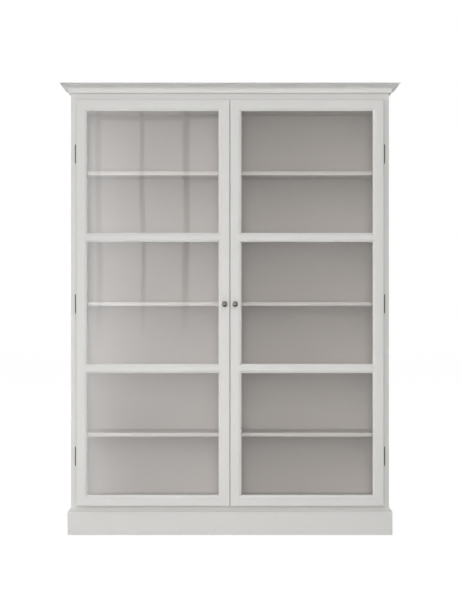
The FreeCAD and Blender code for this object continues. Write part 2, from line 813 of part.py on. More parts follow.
door_slab = prism("DoorSlab", "XZ_Plane", [
    ("door_meeting", "door_low"),
    ("door_edge", "door_low"),
    ("door_edge", "door_high"),
    ("door_meeting", "door_high"),
], ("door_front", "door_back"))
round_edges(door_slab, "DoorRounding", "door_rounding", at_door_rim)

# Three things are cut for each pane: the opening, the bevel round it at the front,
# and the rebate for the glass and its beads at the back.
pane_cuts = []
for index in range(PANES):
    low, high = pane_low(index), pane_high(index)
    pane_cuts.append(
        box(f"PaneOpening{index}", ("sight_left", f"door_front - {PAST}", low),
            ("sight_right", f"door_back + {PAST}", high)))
    bevel = doc.addObject("Part::Wedge", f"PaneBevel{index}")
    bind(bevel,
         Xmin="sight_left - sticking_width", Xmax="sight_right + sticking_width",
         Zmin=f"{low} - sticking_width", Zmax=f"{high} + sticking_width",
         X2min="sight_left", X2max="sight_right", Z2min=low, Z2max=high,
         Ymin="door_front", Ymax="door_front + sticking_depth")
    pane_cuts.append(bevel)
    pane_cuts.append(
        box(f"PaneRebate{index}", ("sight_left - glass_rebate", "glass_front", f"{low} - glass_rebate"),
            ("sight_right + glass_rebate", f"door_back + {PAST}", f"{high} + glass_rebate")))
door_blank = cut("DoorBlank", door_slab, [fuse("PaneCuts", pane_cuts)])

# The frame is divided where the real one is jointed: each stile runs the full
# height, and each rail meets it in a square shoulder with a mitred bevel.
through_door = (f"door_front - {PAST}", f"door_back + {PAST}")


def common(name, region):
    """The part of the blank door that lies in a region."""
    result = doc.addObject("Part::Common", name)
    result.Base = door_blank
    result.Tool = region
    return result


def stile(name, outside, flat, sight):
    """The part of the blank between its outer edge and the joints with the rails."""
    corners = [(outside, f"door_low - {PAST}"), (flat, f"door_low - {PAST}")]
    for index in range(PANES):
        corners += [
            (flat, f"{pane_low(index)} - sticking_width"),
            (sight, pane_low(index)),
            (sight, pane_high(index)),
            (flat, f"{pane_high(index)} + sticking_width"),
        ]
    corners += [(flat, f"door_high + {PAST}"), (outside, f"door_high + {PAST}")]
    region = prism(f"{name}Region", "XZ_Plane", corners, through_door)
    return common(name, region)


flat_left, flat_right = "sight_left - sticking_width", "sight_right + sticking_width"


def rail_span(index):
    """The flat part of a rail, from its lower to its upper edge, with index 0 at the bottom."""
    low = "door_low" if index == 0 else f"({pane_high(index - 1)} + sticking_width)"
    high = "door_high" if index == PANES else f"({pane_low(index)} - sticking_width)"
    return low, high


def rail(name, index):
    """The part of the blank between two stiles and two panes, with its tenons."""
    low, high = rail_span(index)
    if index == 0:
        corners = [(flat_left, f"door_low - {PAST}"), (flat_right, f"door_low - {PAST}")]
    else:
        below = pane_high(index - 1)
        corners = [(flat_left, low), ("sight_left", below), ("sight_right", below), (flat_right, low)]
    if index == PANES:
        corners += [(flat_right, f"door_high + {PAST}"), (flat_left, f"door_high + {PAST}")]
    else:
        above = pane_low(index)
        corners += [(flat_right, high), ("sight_right", above), ("sight_left", above), (flat_left, high)]
    region = prism(f"{name}Region", "XZ_Plane", corners, through_door)
    return fuse(name, [common(f"{name}Body", region), *tenons(name, index)])


def tenons(name, index):
    """The tenons at both ends of a rail, or the mortises that take them."""
    low, high = rail_span(index)
    front = "(door_front + door_back - tenon_thickness) / 2"
    back = "(door_front + door_back + tenon_thickness) / 2"
    ends = {"Left": (f"{flat_left} - tenon_length", flat_left),
            "Right": (flat_right, f"{flat_right} + tenon_length")}
    return [
        box(f"{name}{end}Tenon", (start, front, f"{low} + tenon_shoulder"),
            (stop, back, f"{high} - tenon_shoulder"))
        for end, (start, stop) in ends.items()
    ]


rail_names = ["rail_bottom", "rail_lower", "rail_upper", "rail_top"]
rails = {name: rail(f"Door{name}", index) for index, name in enumerate(rail_names)}
mortises = []
for index, name in enumerate(rail_names):
    mortises += tenons(f"Mortise{name}", index)

stile_recesses = [
    leaf_recess(f"StileRecess{index}", barrel, f"door_edge + {PAST}",
                "door_back - leaf_thickness", f"door_back + {PAST}")
    for index, barrel in enumerate(barrels, start=1)
]
hinge_stile = cut("HingeStile",
                  stile("HingeStileBlank", f"door_edge + {PAST}", flat_right, "sight_right"),
                  [group("HingeStileMortises", mortises),
                   copies("StileScrewHoles", screw_hole, door_screw_places, "y"),
                   *stile_recesses])

# The knob's screw passes through the meeting stile from a counterbore in its back.
knob_hole = rod("KnobHole", "y", ("knob_x", f"door_front - {PAST}", "knob_height"),
                "knob_thread_radius + fit_clearance", f"door_thickness + {2 * PAST}")
knob_counterbore = rod("KnobCounterbore", "-y", ("knob_x", f"door_back + {PAST}", "knob_height"),
                       "knob_screw_head_radius + fit_clearance",
                       f"knob_screw_head_length + {PAST}")
meeting_stile = cut("MeetingStile",
                    stile("MeetingStileBlank", f"door_meeting - {PAST}", flat_left, "sight_left"),
                    [group("MeetingStileMortises", mortises), knob_hole, knob_counterbore])

glass_panes = group("GlassPanes", [
    box(f"Glass{index}",
        ("sight_left - glass_rebate + glass_clearance", "glass_front",
         f"{pane_low(index)} - glass_rebate + glass_clearance"),
        ("sight_right + glass_rebate - glass_clearance", "glass_back",
         f"{pane_high(index)} + glass_rebate - glass_clearance"))
    for index in range(PANES)
])


def bead(name, index, start, end):
    """One bead behind a pane: start and end are its corners across the door's face."""
    return box(f"{name}Bead{index}", (start[0], "glass_back", start[1]), (end[0], "door_back", end[1]))


def pane_beads(index):
    """Four beads that hold a pane: two full-width ones and two between them."""
    left, right = "sight_left - glass_rebate", "sight_right + glass_rebate"
    low, high = pane_low(index), pane_high(index)
    return [
        bead("Low", index, (left, f"{low} - glass_rebate"), (right, low)),
        bead("High", index, (left, high), (right, f"{high} + glass_rebate")),
        bead("Left", index, (left, low), ("sight_left", high)),
        bead("Right", index, ("sight_right", low), (right, high)),
    ]


all_beads = []
for index in range(PANES):
    all_beads += pane_beads(index)

# The knob is turned: a round foot, a waisted neck and a flattened round head.
knob_head = doc.addObject("Part::Ellipsoid", "KnobHead")
knob_head.Placement.Rotation = TURNS["-y"]
bind(knob_head, Radius1="knob_half_length", Radius2="knob_radius")
knob_head_y = "door_front - knob_foot_length - knob_neck_length - knob_half_length"
bind_base(knob_head, ("knob_x", knob_head_y, "knob_height"))
knob_blank = fuse("KnobBlank", [
    knob_head,
    taper("KnobNeck", "-y", ("knob_x", "door_front - knob_foot_length", "knob_height"),
          "knob_neck_base_radius", "knob_neck_radius", "knob_neck_length + knob_half_length"),
    rod("KnobFoot", "-y", ("knob_x", "door_front", "knob_height"), "knob_foot_radius", "knob_foot_length"),
])
knob = cut("Knob", knob_blank, [
    rod("KnobThread", "-y", ("knob_x", f"door_front + {PAST}", "knob_height"),
        "knob_thread_radius + fit_clearance", f"knob_thread_length + {PAST}"),
])
knob_head_face = "door_back - knob_screw_head_length"
knob_screw = fuse("KnobScrew", [
    rod("KnobScrewHead", "y", ("knob_x", knob_head_face, "knob_height"),
        "knob_screw_head_radius", "knob_screw_head_length"),
    rod("KnobScrewShank", "-y", ("knob_x", knob_head_face, "knob_height"), "knob_thread_radius",
        "door_thickness - knob_screw_head_length + knob_thread_length - fit_clearance"),
])

catch_plates = group("CatchPlates", [
    box(f"StrikePlate{index}",
        ("strike_x", "door_back", f"{level} - catch_height / 2"),
        ("partition_half + catch_width", "strike_back", f"{level} + catch_height / 2"))
    for index, level in enumerate(catch_levels, start=1)
])

door_parts = {
    "stile_hinge": hinge_stile,
    "stile_meeting": meeting_stile,
    **rails,
    "glass_panes": glass_panes,
    "glazing_beads": group("GlazingBeads", all_beads),
    "knob": knob,
    "knob_screw": knob_screw,
    "hinge_leaves": copies("DoorLeaves", door_leaf, barrels),
    "hinge_screws": copies("DoorLeafScrews", wood_screw, door_screw_places, "y"),
    "catch_plates": catch_plates,
}
for name, right_part in door_parts.items():
    node(f"door_right_{name}", right_part)
    node(f"door_left_{name}", mirror(f"DoorLeft{name}", right_part))

# ------------------------------------------------------------------- check, export

doc.recompute()
for thing in doc.Objects:
    if {"Invalid", "Error"} & set(thing.State):
        raise RuntimeError(f"{thing.Name} failed: {thing.State}")
for name, thing in nodes.items():
    if thing.Shape.isNull() or not thing.Shape.isValid() or not thing.Shape.Solids:
        raise RuntimeError(f"{name} has no valid solid")

os.makedirs("parts", exist_ok=True)
for name, thing in sorted(nodes.items()):
    thing.Shape.exportStep(os.path.join("parts", f"{name}.step"))
print(len(nodes), "sub-parts written")
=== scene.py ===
import json
import math

import bmesh
import bpy
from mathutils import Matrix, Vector


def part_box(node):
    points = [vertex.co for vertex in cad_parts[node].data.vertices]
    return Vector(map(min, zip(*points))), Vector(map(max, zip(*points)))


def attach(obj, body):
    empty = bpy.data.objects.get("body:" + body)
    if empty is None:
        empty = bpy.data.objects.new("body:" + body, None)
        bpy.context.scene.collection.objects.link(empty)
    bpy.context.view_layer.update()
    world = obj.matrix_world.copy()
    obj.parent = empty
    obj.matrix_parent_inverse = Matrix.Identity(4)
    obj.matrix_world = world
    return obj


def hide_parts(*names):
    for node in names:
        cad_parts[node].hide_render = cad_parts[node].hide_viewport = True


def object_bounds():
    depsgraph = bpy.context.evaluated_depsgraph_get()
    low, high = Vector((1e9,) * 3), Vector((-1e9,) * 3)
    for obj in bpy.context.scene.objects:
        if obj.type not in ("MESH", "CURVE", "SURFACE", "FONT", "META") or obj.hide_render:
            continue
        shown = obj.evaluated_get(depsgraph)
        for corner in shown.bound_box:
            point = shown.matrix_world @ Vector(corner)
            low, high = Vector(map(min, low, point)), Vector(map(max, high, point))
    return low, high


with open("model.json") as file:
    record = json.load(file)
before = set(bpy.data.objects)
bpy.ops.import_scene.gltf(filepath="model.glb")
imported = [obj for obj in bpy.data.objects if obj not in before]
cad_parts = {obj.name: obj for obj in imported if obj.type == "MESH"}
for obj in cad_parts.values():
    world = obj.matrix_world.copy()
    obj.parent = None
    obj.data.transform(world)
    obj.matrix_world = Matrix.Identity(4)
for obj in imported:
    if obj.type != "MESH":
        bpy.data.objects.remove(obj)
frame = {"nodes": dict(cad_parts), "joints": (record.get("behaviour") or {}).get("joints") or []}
cad_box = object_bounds()
nodes = frame["nodes"]

# ---------------------------------------------------------------------------- view
# The bookcase is seen square on from far off, at half its height, so that its two
# halves look alike and its upright edges stay upright.

VIEW_DISTANCE = 10.3       # metres, from the front of the cornice
VIEW_HEIGHT = 1.0624
VIEW_REACH = 100
LENS = 130.6               # mm, on an image whose longer side is the next
LONGER_SIDE = 36

view_place = (0, cad_box[0][1] - VIEW_DISTANCE, VIEW_HEIGHT)
bpy.ops.object.select_all(action="DESELECT")
bpy.ops.object.camera_add(location=view_place, rotation=(math.pi / 2, 0, 0))
camera = bpy.context.object
camera.data.lens = LENS
camera.data.sensor_width = LONGER_SIDE
camera.data.clip_end = VIEW_REACH
scene = bpy.context.scene
scene.camera = camera
scene.view_settings.view_transform = "Standard"

# --------------------------------------------------------------------------- light
# Three soft lights stand in front: one high up, one low down that reaches the back of
# the shelves, and one to the left. A fourth makes the floor throw light back up, and
# a fifth shows the back. Metal, glass and the eye see the dim pale room as white.

ROOM_LIGHT = 0.14
FLOOR_LAMP_SPREAD = 45     # degrees


def linear(code):
    """A colour written as a hex code, as linear RGBA."""
    shares = [int(code[index:index + 2], 16) / 255 for index in (1, 3, 5)]
    curve = [s / 12.92 if s <= 0.04045 else ((s + 0.055) / 1.055) ** 2.4 for s in shares]
    return (*curve, 1)


def add(tree, kind, inputs=None, **settings):
    """Add a node. An input is a value, an output, or a node for its first output."""
    made = tree.nodes.new(kind)
    for name, value in settings.items():
        setattr(made, name, value)
    for socket, value in (inputs or {}).items():
        if isinstance(value, bpy.types.Node):
            value = value.outputs[0]
        if isinstance(value, bpy.types.NodeSocket):
            tree.links.new(value, made.inputs[socket])
        else:
            made.inputs[socket].default_value = value
    return made


def reckon(tree, operation, *values, **settings):
    """A node with the result of an operation on values, outputs or nodes."""
    return add(tree, "ShaderNodeMath", dict(enumerate(values)), operation=operation, **settings)


def seen_directly(tree):
    """1 for rays from the eye, a mirror or a glass, 0 for the rays that light things."""
    path = add(tree, "ShaderNodeLightPath").outputs
    mirrored = reckon(tree, "MAXIMUM", path["Is Camera Ray"], path["Is Glossy Ray"])
    return reckon(tree, "MAXIMUM", mirrored, path["Is Transmission Ray"])


def softbox(name, place, width, height, power):
    """A soft light in metres and watts, turned to the middle of the bookcase."""
    bpy.ops.object.light_add(type="AREA", location=place)
    lamp = bpy.context.object
    lamp.name = name
    direction = (Vector(cad_box[0]) + Vector(cad_box[1])) / 2 - Vector(place)
    lamp.rotation_euler = direction.to_track_quat("-Z", "Y").to_euler()
    lamp.data.shape = "RECTANGLE"
    lamp.data.size = width
    lamp.data.size_y = height
    lamp.data.energy = power
    return lamp


high_softbox = softbox("high_softbox", (-0.5, -24.0, 13.5), 5.0, 15.0, 1920)
low_softbox = softbox("low_softbox", (0.1, -13.0, 1.5), 2.0, 5.0, 385)
softbox("side_softbox", (-15.0, -12.0, 6.0), 10.0, 10.0, 600)
floor_softbox = softbox("floor_softbox", (-0.2, -2.1, 5.0), 1.7, 1.7, 24)
back_softbox = softbox("back_softbox", (-6.0, 13.0, 8.0), 8.0, 8.0, 950)
floor_softbox.rotation_euler = (0, 0, 0)
floor_softbox.data.spread = math.radians(FLOOR_LAMP_SPREAD)
for lamp in (high_softbox, low_softbox, floor_softbox, back_softbox):
    lamp.visible_glossy = False

world = bpy.data.worlds.new("pale_room")
world.use_nodes = True
scene.world = world
room = world.node_tree
room.nodes.clear()
lighting = add(room, "ShaderNodeBackground", {"Color": linear("#F4F5F6"), "Strength": ROOM_LIGHT})
seen = add(room, "ShaderNodeBackground", {"Color": linear("#FFFFFF"), "Strength": 1.0})
mixed = add(room, "ShaderNodeMixShader", {0: seen_directly(room), 1: lighting, 2: seen})
add(room, "ShaderNodeOutputWorld", {"Surface": mixed})

# --------------------------------------------------------------------------- floor
# The floor is pale paper. The eye sees it nearly white, with a trace of shadow at
# the foot of the plinth.

FLOOR_SIZE = 80            # metres
FLOOR_WHITE = 0.93         # the share of plain white that the eye sees over the lit paper
WHITE_STRENGTH = 1.06


def new_material(name):
    """An empty node material and its tree."""
    material = bpy.data.materials.new(name)
    material.use_nodes = True
    material.node_tree.nodes.clear()
    return material, material.node_tree


bpy.ops.object.select_all(action="DESELECT")
bpy.ops.mesh.primitive_plane_add(size=FLOOR_SIZE)
floor = bpy.context.object
floor.name = "floor"
paper, tree = new_material("white_paper")
matt = add(tree, "ShaderNodeBsdfDiffuse", {"Color": linear("#E4E4E2")})
white = add(tree, "ShaderNodeEmission", {"Color": linear("#FFFFFF"), "Strength": WHITE_STRENGTH})
share = reckon(tree, "MULTIPLY", seen_directly(tree), FLOOR_WHITE)
surface = add(tree, "ShaderNodeMixShader", {0: share, 1: matt, 2: white})
add(tree, "ShaderNodeOutputMaterial", {"Surface": surface})
floor.data.materials.append(paper)

# -------------------------------------------------------------------------- window
# A window wall stands behind the viewer on the left, and its light lies on the floor
# before it. Only what mirrors sees them: they are there for the left door's glass,
# which shows three bars, a jamb and a transom in a brightness that grows to the left.

WINDOW_PLANE = -12.0       # metres, as is all here that isn't a share
WINDOW_LEFT, WINDOW_RIGHT = -1.8, 0.02
WINDOW_HIGH = 3.6
FLOOR_LIGHT_NEAR = -1.2    # how near the light on the floor comes
CARD_LIFT = 0.001          # of a card off the floor
SAME_PLACE = 0.01
MIRRORED_EYE = 10.159      # the eye behind the panes, as deep as it is before them
PANE_TO_EYE = 10.337
BRIGHTEST_AT, PLAIN_AT = 0.652, 0.047    # places across the panes, left of the middle
WALL_GLOW = (1.15, 2.35, 2.6)            # plain share, bright share, and steepness
FLOOR_GLOW = (0.9, 2.2, 5.0)
GLOWS_MEET = 0.5                         # height over which one passes into the other
GLOW_TOP, GLOW_DIM, TOP_SHARE = 2.5, 2.95, 0.75    # heights between which it dims, and to what
BAND_CORE = 0.3                          # the even share of a bar's width, between soft edges
# Places across the panes, each with half a width and a shade. The first is the jamb.
BARS = {0.668: (0.036, 0.8), 0.613: (0.020, 0.9), 0.4035: (0.016, 1.0), 0.2035: (0.021, 1.05)}
BARS_END, BARS_START = 0.55, 1.4         # heights between which the bars fade in
TRANSOM_HEIGHT, TRANSOM_HALF, TRANSOM_SHADE = 2.945, 0.04, 0.75
# The light fades out towards each edge of the card: an axis, and a start and end on it.
FADES = (("X", -0.09, 0.02), ("X", -1.42, -1.78), ("Y", -2.2, -1.25), ("Z", 3.1, 3.55))


def remap(tree, value, to, over=(0, 1), smooth=False):
    """A node that carries a value over one range to another, and holds it at the ends."""
    return add(tree, "ShaderNodeMapRange", {
        "Value": value, "From Min": over[0], "From Max": over[1], "To Min": to[0], "To Max": to[1]},
        interpolation_type="SMOOTHSTEP" if smooth else "LINEAR")


def soft_band(tree, place, middle, half_width, depth):
    """A depth within a soft-edged band about a place, and 0 outside it."""
    away = reckon(tree, "SUBTRACT", place, middle)
    apart = reckon(tree, "ABSOLUTE", away)
    return remap(tree, apart, to=(depth, 0), over=(half_width * BAND_CORE, half_width), smooth=True)


def lay_card(name, low, high, height):
    """A card over the floor from corner to corner, in edit mode, its origin at the world's."""
    bpy.ops.object.select_all(action="DESELECT")
    bpy.ops.mesh.primitive_plane_add(size=1)
    card = bpy.context.object
    card.name = name
    bpy.ops.object.mode_set(mode="EDIT")
    bpy.ops.mesh.select_mode(type="EDGE")
    bpy.ops.mesh.select_all(action="SELECT")
    bpy.ops.transform.resize(value=(high[0] - low[0], high[1] - low[1], 1))
    bpy.ops.transform.translate(value=((low[0] + high[0]) / 2, (low[1] + high[1]) / 2, height))
    return card


def pick_edges(piece, chosen):
    """In edit mode, select the edges for which a test on their two ends holds."""
    bpy.ops.mesh.select_all(action="DESELECT")
    mesh = bmesh.from_edit_mesh(piece.data)
    for edge in mesh.edges:
        if chosen(*[vertex.co for vertex in edge.verts]):
            edge.select_set(True)
    bmesh.update_edit_mesh(piece.data)


def seen_by_mirrors_alone(card):
    """Hide a card from the eye and from the light, but not from mirrors and sheen."""
    card.visible_camera = False
    card.visible_diffuse = False
    card.visible_transmission = False
    card.visible_volume_scatter = False
    card.visible_shadow = False


window = lay_card("window_wall", (WINDOW_LEFT, WINDOW_PLANE), (WINDOW_RIGHT, FLOOR_LIGHT_NEAR), CARD_LIFT)
pick_edges(window, lambda start, end: max(start.y, end.y) < WINDOW_PLANE + SAME_PLACE)
bpy.ops.mesh.extrude_region_move(TRANSFORM_OT_translate={"value": (0, 0, WINDOW_HIGH)})
bpy.ops.object.mode_set(mode="OBJECT")
seen_by_mirrors_alone(window)
daylight, tree = new_material("window_daylight")
place = add(tree, "ShaderNodeTexCoord").outputs["Object"]
axes = add(tree, "ShaderNodeSeparateXYZ", {0: place}).outputs
depth = reckon(tree, "SUBTRACT", MIRRORED_EYE, axes["Y"])
slant = reckon(tree, "DIVIDE", axes["X"], depth)
across = reckon(tree, "MULTIPLY", slant, -PANE_TO_EYE)
leftwards = remap(tree, across, to=(0, 1), over=(PLAIN_AT, BRIGHTEST_AT))
plain_share, bright_share, steepness = [
    remap(tree, axes["Z"], to=glows, over=(0, GLOWS_MEET)) for glows in zip(FLOOR_GLOW, WALL_GLOW)]
steep = reckon(tree, "POWER", leftwards, steepness)
topmost = remap(tree, axes["Z"], to=(1, TOP_SHARE), over=(GLOW_TOP, GLOW_DIM))
dimmed = reckon(tree, "MULTIPLY", bright_share, topmost)
glow = reckon(tree, "MULTIPLY_ADD", steep, dimmed, plain_share)
shade = soft_band(tree, axes["Z"], TRANSOM_HEIGHT, TRANSOM_HALF, TRANSOM_SHADE)
for bar_place, (bar_half, bar_shade) in BARS.items():
    bar = soft_band(tree, across, bar_place, bar_half, bar_shade)
    shade = reckon(tree, "MAXIMUM", bar, shade)
bars_fade = remap(tree, axes["Z"], to=(0, -1), over=(BARS_END, BARS_START), smooth=True)
light = reckon(tree, "MULTIPLY_ADD", shade, bars_fade, glow)
for axis, start, end in FADES:
    fade = remap(tree, axes[axis], to=(1, 0), over=(start, end), smooth=True)
    light = reckon(tree, "MULTIPLY", light, fade)
bright = reckon(tree, "ADD", light, 1)
sky = add(tree, "ShaderNodeEmission", {"Color": linear("#FEFEFF"), "Strength": bright})
add(tree, "ShaderNodeOutputMaterial", {"Surface": sky})
window.data.materials.append(daylight)

# ----------------------------------------------------------------------- dark card
# A dark card lies on the floor close to the doors, hidden from the eye. Mirrored, it
# darkens the underside of the knobs, and a little the panes and the sheen low on the
# front. It fades to the white of the room towards its rim.

CARD_HALF = 1.15           # metres
CARD_MIDDLE = (0, -CARD_HALF, 0)
CARD_SHADE, RIM_START = 0.06, 0.72       # its brightness, and where its rim starts, as shares

dark_card = lay_card("dark_card", (-CARD_HALF, -2 * CARD_HALF), (CARD_HALF, 0), 2 * CARD_LIFT)
bpy.ops.object.mode_set(mode="OBJECT")
seen_by_mirrors_alone(dark_card)
card_face, tree = new_material("dark_card_face")
place = add(tree, "ShaderNodeTexCoord").outputs["Object"]
from_middle = add(tree, "ShaderNodeVectorMath", {0: place, 1: CARD_MIDDLE}, operation="DISTANCE")
rim = remap(tree, from_middle.outputs["Value"], to=(CARD_SHADE, 1), over=(CARD_HALF * RIM_START, CARD_HALF),
            smooth=True)
dark = add(tree, "ShaderNodeEmission", {"Color": linear("#FFFDFB"), "Strength": rim})
add(tree, "ShaderNodeOutputMaterial", {"Surface": dark})
dark_card.data.materials.append(card_face)

# ---------------------------------------------------------------------------- case
# The boards, rails, cornice and plinth are primed, sprayed with a satin lacquer in a
# warm pale grey and rubbed down between coats. The film rounds each edge a little and
# has a faint orange peel, and its colour is darkened in the corners as painted shade.

MM = 0.001


def noise(tree, size, detail, roughness):
    """Noise fixed to the object, its largest forms about a size in mm."""
    place = add(tree, "ShaderNodeTexCoord").outputs["Object"]
    return add(tree, "ShaderNodeTexNoise", {
        "Vector": place, "Scale": 1 / (size * MM), "Detail": detail, "Roughness": roughness})


def vary(tree, by_noise, middle, reach):
    """A value that a noise moves up and down about its middle."""
    return remap(tree, by_noise, to=(middle - reach, middle + reach))


def toned(tree, colour, strength):
    """A colour made stronger or weaker."""
    return add(tree, "ShaderNodeVectorMath", {0: linear(colour)[:3], "Scale": strength}, operation="SCALE")


def satin_lacquer(name, colour, roughness):
    """Sprayed lacquer: an even soft gloss over a colour that drifts very little, with painted shade darkening
    its corners.
    """
    material, tree = new_material(name)
    drift = noise(tree, size=330, detail=3.0, roughness=0.55)
    # painted shade: ambient occlusion darkens the colour in corners and creases
    corner = add(tree, "ShaderNodeAmbientOcclusion", {"Distance": 8 * MM}, samples=6)
    corner_shade = remap(tree, corner.outputs["AO"], to=(0.94, 1))
    strength = reckon(tree, "MULTIPLY", vary(tree, drift, middle=1, reach=0.015), corner_shade)
    peel = noise(tree, size=2.4, detail=2.0, roughness=0.5)
    eased = add(tree, "ShaderNodeBevel", {"Radius": 0.8 * MM}, samples=4)
    bump = add(tree, "ShaderNodeBump", {
        "Strength": 0.05, "Distance": 0.4 * MM, "Height": peel, "Normal": eased})
    film = add(tree, "ShaderNodeBsdfPrincipled", {
        "Base Color": toned(tree, colour, strength), "Roughness": vary(tree, drift, roughness, reach=0.04),
        "Normal": bump, "IOR": 1.5})
    add(tree, "ShaderNodeOutputMaterial", {"Surface": film})
    return material


def dress(material, *names):
    """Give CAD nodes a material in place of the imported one."""
    for name in names:
        for slot in nodes[name].material_slots:
            slot.material = material


case_lacquer = satin_lacquer("satin_lacquer", "#DAD9D7", 0.42)
dress(case_lacquer, "side_panel_left", "side_panel_right", "frieze_rail", "base_rail",
      "cornice_front", "cornice_left", "cornice_right",
      "plinth_front", "plinth_left", "plinth_right")

# -------------------------------------------------------------------------- inside
# Inside, the same lacquer is thinner and flatter, and a little warmer, because there
# the gun can't be held square to the boards. Its colour is also darker than outside,
# as painted shade for the closed bays. Five shelves lie loose in each bay.

BAYS = ("left", "right")
SHELVES = 5

# darker than the case lacquer: painted shade for the inside of the bays, with a warmer tint of its own
shaded_inside_lacquer = satin_lacquer("shaded_inside_lacquer", "#CAC4BF", 0.5)
shelf_names = [f"shelf_{bay}_{number}" for bay in BAYS for number in range(1, SHELVES + 1)]
dress(shaded_inside_lacquer, "centre_partition", "bottom_board", "top_board", "cover_board", "rear_stretcher",
      "back_panels", "hinge_posts", *shelf_names)

# ---------------------------------------------------------------------- shelf pins
# Each shelf lies on four turned steel pins, zinc plated, pushed into drilled holes. A
# pin has a collar against the wood, a groove, and a peg with a rounded end.

SMOOTH_BELOW = math.radians(35)
MIX_FIRST, MIX_SECOND, MIXED = 6, 7, 2   # the colour sockets of a mix node
PEG_RADIUS, PEG_LENGTH = 3.5, 9.0        # mm, as are the next three
SHANK_RADIUS, SHANK_LENGTH = 2.5, 8.0
GROOVE = 0.7
PIN_INSET, SHELF_END_GAP = 50.0, 1.0     # mm from the shelf's front, back and ends


def turn(name, rings, segments=24):
    """A turned piece about the Z axis through rings, each a radius and a height in mm."""
    radius, height = rings[0]
    bpy.ops.object.select_all(action="DESELECT")
    bpy.ops.mesh.primitive_circle_add(vertices=segments, radius=radius * MM, fill_type="NGON")
    piece = bpy.context.object
    piece.name = name
    bpy.ops.object.mode_set(mode="EDIT")
    bpy.ops.mesh.select_all(action="SELECT")
    bpy.ops.transform.translate(value=(0, 0, height * MM))
    for next_radius, next_height in rings[1:]:
        rise = (0, 0, (next_height - height) * MM)
        bpy.ops.mesh.extrude_region_move(TRANSFORM_OT_translate={"value": rise})
        share = next_radius / radius
        bpy.ops.transform.resize(value=(share, share, 1), center_override=(0, 0, next_height * MM))
        radius, height = next_radius, next_height
    bpy.ops.mesh.select_all(action="SELECT")
    bpy.ops.mesh.normals_make_consistent(inside=False)
    bpy.ops.object.mode_set(mode="OBJECT")
    bpy.ops.object.shade_smooth_by_angle(angle=SMOOTH_BELOW)
    return piece


def joined(name, pieces):
    """Several pieces as one object."""
    bpy.ops.object.select_all(action="DESELECT")
    for piece in pieces:
        piece.select_set(True)
    bpy.context.view_layer.objects.active = pieces[0]
    bpy.ops.object.transform_apply(location=True, rotation=True, scale=True)
    if len(pieces) > 1:
        bpy.ops.object.join()
    pieces[0].name = name
    return pieces[0]


def copies(name, pattern, places):
    """Copies of a pattern, each at a place and a turn, as one object."""
    made = []
    for place, turned in places:
        one = pattern.copy()
        one.data = pattern.data.copy()
        one.location = place
        one.rotation_euler = turned
        scene.collection.objects.link(one)
        made.append(one)
    return joined(name, made)


def finish_piece(piece, material, body, slot, *replaced):
    """Give a piece its material and its body, and hide the nodes it stands for. The slot is not used."""
    piece.data.materials.clear()
    piece.data.materials.append(material)
    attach(piece, body)
    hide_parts(*replaced)


def plated_metal(name, colour, rubbed, roughness, grain_size):
    """A plated metal with fine uneven polish, rubbed paler along its edges."""
    material, tree = new_material(name)
    grain = noise(tree, grain_size, detail=4.0, roughness=0.6)
    eased = add(tree, "ShaderNodeBevel", {"Radius": 0.5 * MM}, samples=4)
    facing = add(tree, "ShaderNodeNewGeometry").outputs["Normal"]
    alike = add(tree, "ShaderNodeVectorMath", {0: eased, 1: facing}, operation="DOT_PRODUCT")
    edge = remap(tree, alike.outputs["Value"], to=(0, 0.6), over=(1, 0.8))
    spots = reckon(tree, "MULTIPLY", grain, 0.4)
    wear = reckon(tree, "ADD", edge, spots, use_clamp=True)
    tone = add(tree, "ShaderNodeMix", {
        "Factor": wear, MIX_FIRST: linear(colour), MIX_SECOND: linear(rubbed)}, data_type="RGBA")
    bump = add(tree, "ShaderNodeBump", {
        "Strength": 0.08, "Distance": 0.2 * MM, "Height": grain, "Normal": eased})
    metal = add(tree, "ShaderNodeBsdfPrincipled", {
        "Base Color": tone.outputs[MIXED], "Metallic": 1.0,
        "Roughness": vary(tree, grain, roughness, reach=0.08), "Normal": bump})
    add(tree, "ShaderNodeOutputMaterial", {"Surface": metal})
    return material


zinc = plated_metal("zinc_plate", "#B4B5B3", "#CCCCC9", roughness=0.32, grain_size=1.5)
shelf_pin = turn("shelf_pin", [
    (SHANK_RADIUS - 0.6, -SHANK_LENGTH), (SHANK_RADIUS, -SHANK_LENGTH + 0.8), (SHANK_RADIUS, 0),
    (PEG_RADIUS - 0.2, 0), (PEG_RADIUS, 0.2), (PEG_RADIUS, 1.2), (PEG_RADIUS - GROOVE, 1.5),
    (PEG_RADIUS - GROOVE, 2.2), (PEG_RADIUS, 2.5), (PEG_RADIUS, PEG_LENGTH - 1.6),
    (PEG_RADIUS - 0.4, PEG_LENGTH - 0.7), (PEG_RADIUS - 1.5, PEG_LENGTH)], segments=20)
pin_places = []
for shelf in shelf_names:
    low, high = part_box(shelf)
    level = low.z - PEG_RADIUS * MM
    for deep in (low.y + PIN_INSET * MM, high.y - PIN_INSET * MM):
        pin_places.append(((low.x - SHELF_END_GAP * MM, deep, level), (0, math.pi / 2, 0)))
        pin_places.append(((high.x + SHELF_END_GAP * MM, deep, level), (0, -math.pi / 2, 0)))
finish_piece(copies("turned_shelf_pins", shelf_pin, pin_places), zinc, "case", "steel", "shelf_pins")
bpy.data.objects.remove(shelf_pin)

# ------------------------------------------------------------------------- catches
# Four magnetic catches are screwed to the partition: a moulded housing with an ear
# above and below, a ferrite magnet, and two steel pole plates that meet the door.

